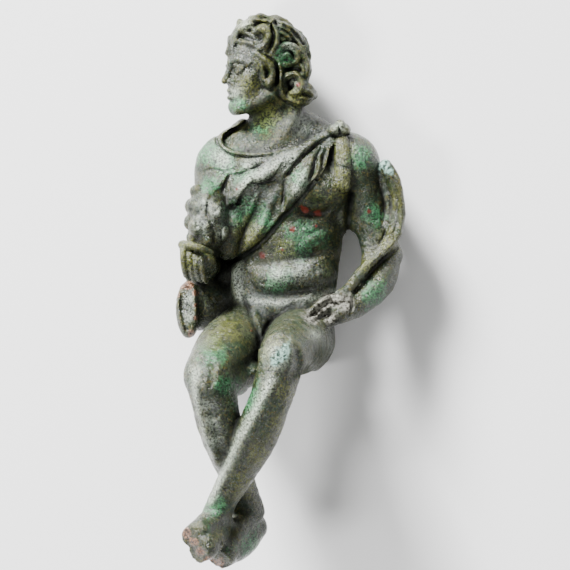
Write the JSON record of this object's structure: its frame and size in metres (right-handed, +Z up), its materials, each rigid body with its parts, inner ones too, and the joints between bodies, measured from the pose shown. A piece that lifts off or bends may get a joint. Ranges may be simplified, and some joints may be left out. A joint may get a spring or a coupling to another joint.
{
  "type": "bronze faun statuette",
  "caption": "Small ancient solid-cast bronze of a seated faun wearing an animal skin, lying on its back, its seat and toes lost.",
  "frame": {"origin": "middle of the bounding box, on the surface the statuette lies on", "axes": "+Y from the feet to the head, +Z up out of the chest and knees, +X to the figure's left"},
  "size_m": [0.0404, 0.097, 0.0373],
  "materials": {
    "bronze": "cast bronze with a dark green-black patina, worn olive on the edges, powdery pale green and grey in the hollows"
  },
  "bodies": {
    "root": {"faun": "bronze"}
  },
  "joints": []
}
